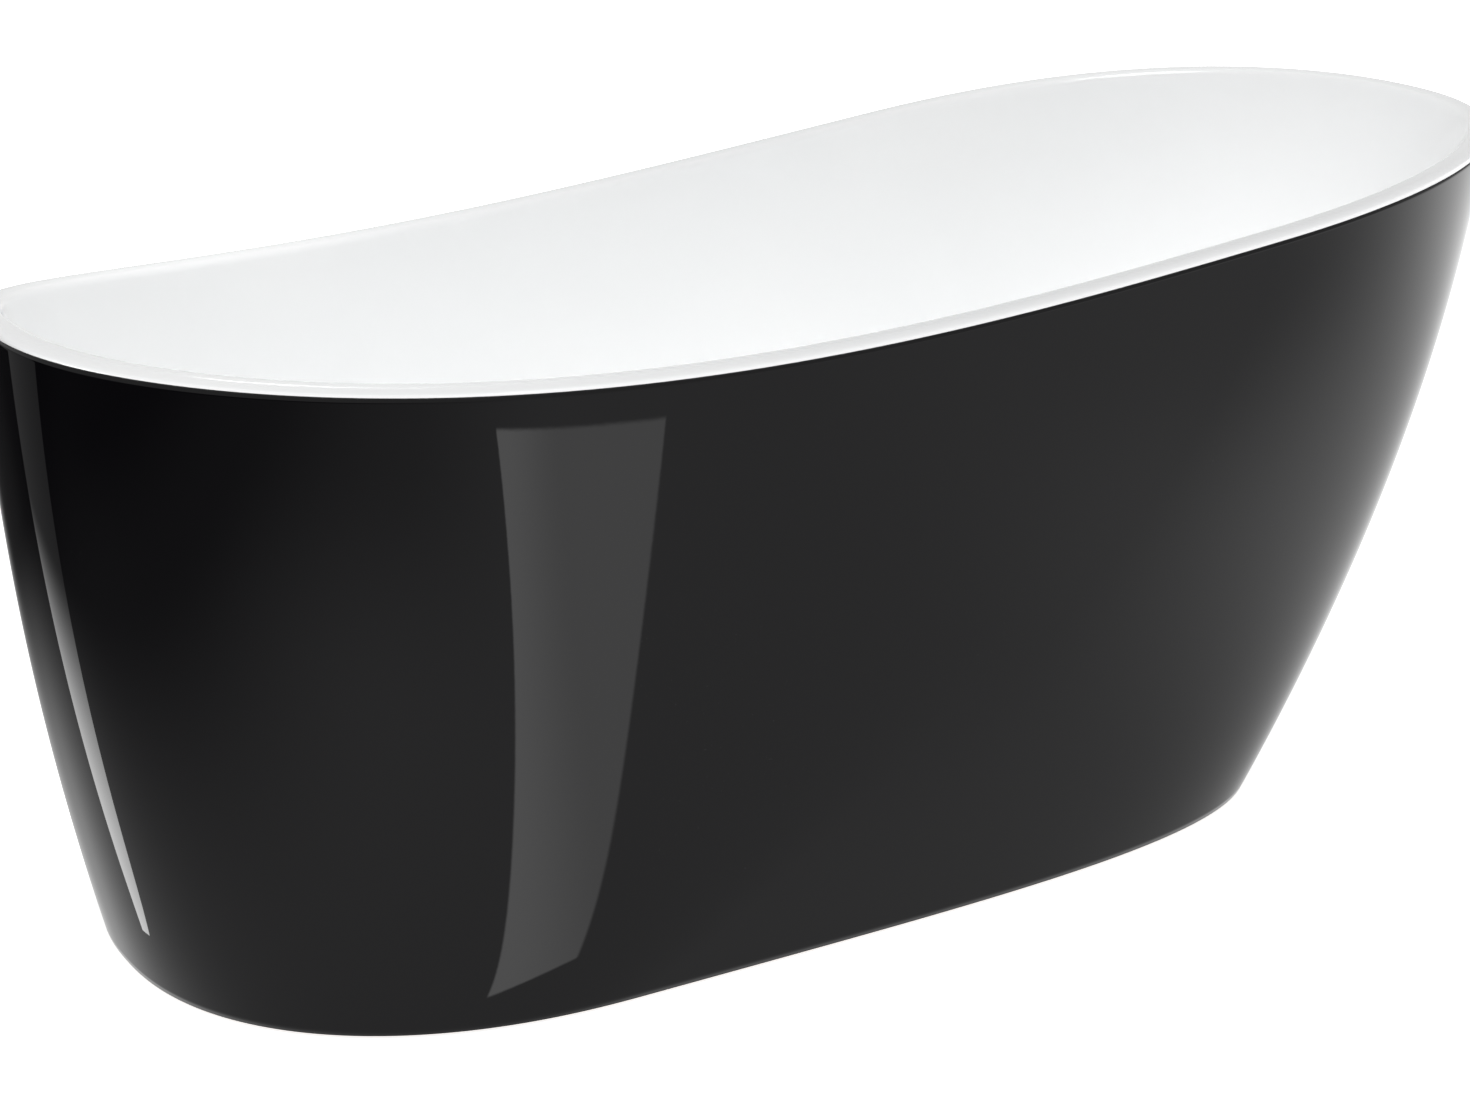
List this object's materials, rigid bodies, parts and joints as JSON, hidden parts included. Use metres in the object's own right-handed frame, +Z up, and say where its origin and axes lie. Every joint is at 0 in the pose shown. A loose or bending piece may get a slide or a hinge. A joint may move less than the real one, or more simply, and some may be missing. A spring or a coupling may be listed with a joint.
{
  "type": "freestanding bathtub",
  "caption": "Freestanding slipper bathtub with a raised head end, a white inner bowl in a separate black skirt, steel base frame, levelling feet, click-clack waste and overflow.",
  "frame": {"origin": "on the floor, below the middle of the tub's length and width", "axes": "+X towards the raised head end, +Z up, Y = 0 is the plane of symmetry"},
  "size_m": [1.7, 0.7564, 0.7262],
  "materials": {
    "white_acrylic": "high gloss, smooth",
    "black_acrylic": "high gloss, smooth",
    "glassfibre": "rough sprayed glassfibre and resin",
    "adhesive": "cured bead",
    "plywood": "sanded birch plywood",
    "galvanised_steel": "zinc coated, satin",
    "zinc_steel": "bright zinc plated",
    "spring_steel": "drawn wire",
    "black_plastic": "moulded",
    "grey_plastic": "moulded",
    "white_plastic": "moulded",
    "hose_plastic": "flexible corrugated",
    "chrome": "polished",
    "brass": "turned",
    "rubber": "moulded seal"
  },
  "bodies": {
    "root": {"base_board": "plywood", "board_screws": "zinc_steel", "bracket_screws": "zinc_steel", "drain_body": "grey_plastic", "drain_body_seal": "rubber", "drain_cartridge": "brass", "drain_flange": "chrome", "drain_flange_seal": "rubber", "drain_spring": "spring_steel", "foot_lock_nuts": "zinc_steel", "foot_weld_nuts": "zinc_steel", "frame_crossbar_foot": "galvanised_steel", "frame_crossbar_head": "galvanised_steel", "frame_crossbar_middle": "galvanised_steel", "frame_end_caps": "black_plastic", "frame_rail_left": "galvanised_steel", "frame_rail_right": "galvanised_steel", "glassfibre_backing": "glassfibre", "hose_nut_bottom": "white_plastic", "hose_nut_top": "white_plastic", "inner_shell": "white_acrylic", "outer_skirt": "black_acrylic", "overflow_cover": "chrome", "overflow_elbow": "grey_plastic", "overflow_gasket": "rubber", "overflow_hose": "hose_plastic", "overflow_screw": "chrome", "rim_adhesive": "adhesive", "skirt_batten": "plywood", "skirt_brackets": "galvanised_steel", "waste_tail": "white_plastic", "waste_tail_nut": "grey_plastic"},
    "drain_plug": {"drain_plug_cap": "chrome", "drain_plug_stem": "brass", "drain_plug_seal": "rubber"},
    "pad_foot_left": {"foot_pad_foot_left": "black_plastic"},
    "stud_foot_left": {"foot_stud_foot_left": "zinc_steel"},
    "pad_foot_right": {"foot_pad_foot_right": "black_plastic"},
    "stud_foot_right": {"foot_stud_foot_right": "zinc_steel"},
    "pad_head_left": {"foot_pad_head_left": "black_plastic"},
    "stud_head_left": {"foot_stud_head_left": "zinc_steel"},
    "pad_head_right": {"foot_pad_head_right": "black_plastic"},
    "stud_head_right": {"foot_stud_head_right": "zinc_steel"},
    "pad_middle": {"foot_pad_middle": "black_plastic"},
    "stud_middle": {"foot_stud_middle": "zinc_steel"}
  },
  "joints": [
    {"name": "drain_plug_lift", "type": "slide", "parent": "root", "child": "drain_plug", "axis": [0, 0, 1], "range_m": [0, 0.009], "deforming": ["drain_spring"]},
    {"name": "foot_foot_left_height", "type": "slide", "parent": "root", "child": "pad_foot_left", "axis": [0, 0, -1], "range_m": [-0.003, 0.012]},
    {"name": "foot_foot_left_turn", "type": "hinge", "parent": "pad_foot_left", "child": "stud_foot_left", "pos_m": [-0.54, 0.17, 0.05], "axis": [0, 0, -1], "range_deg": [-617.2, 2468.6]},
    {"name": "foot_foot_right_height", "type": "slide", "parent": "root", "child": "pad_foot_right", "axis": [0, 0, -1], "range_m": [-0.003, 0.012]},
    {"name": "foot_foot_right_turn", "type": "hinge", "parent": "pad_foot_right", "child": "stud_foot_right", "pos_m": [-0.54, -0.17, 0.05], "axis": [0, 0, -1], "range_deg": [-617.2, 2468.6]},
    {"name": "foot_head_left_height", "type": "slide", "parent": "root", "child": "pad_head_left", "axis": [0, 0, -1], "range_m": [-0.003, 0.012]},
    {"name": "foot_head_left_turn", "type": "hinge", "parent": "pad_head_left", "child": "stud_head_left", "pos_m": [0.3, 0.17, 0.05], "axis": [0, 0, -1], "range_deg": [-617.2, 2468.6]},
    {"name": "foot_head_right_height", "type": "slide", "parent": "root", "child": "pad_head_right", "axis": [0, 0, -1], "range_m": [-0.003, 0.012]},
    {"name": "foot_head_right_turn", "type": "hinge", "parent": "pad_head_right", "child": "stud_head_right", "pos_m": [0.3, -0.17, 0.05], "axis": [0, 0, -1], "range_deg": [-617.2, 2468.6]},
    {"name": "foot_middle_height", "type": "slide", "parent": "root", "child": "pad_middle", "axis": [0, 0, -1], "range_m": [-0.003, 0.012]},
    {"name": "foot_middle_turn", "type": "hinge", "parent": "pad_middle", "child": "stud_middle", "pos_m": [-0.03, 0, 0.05], "axis": [0, 0, -1], "range_deg": [-617.2, 2468.6]}
  ],
  "couplings": [
    {"joint": "foot_foot_left_turn", "follows": "foot_foot_left_height", "rad_per_m": 3590.4},
    {"joint": "foot_foot_right_turn", "follows": "foot_foot_right_height", "rad_per_m": 3590.4},
    {"joint": "foot_head_left_turn", "follows": "foot_head_left_height", "rad_per_m": 3590.4},
    {"joint": "foot_head_right_turn", "follows": "foot_head_right_height", "rad_per_m": 3590.4},
    {"joint": "foot_middle_turn", "follows": "foot_middle_height", "rad_per_m": 3590.4}
  ]
}
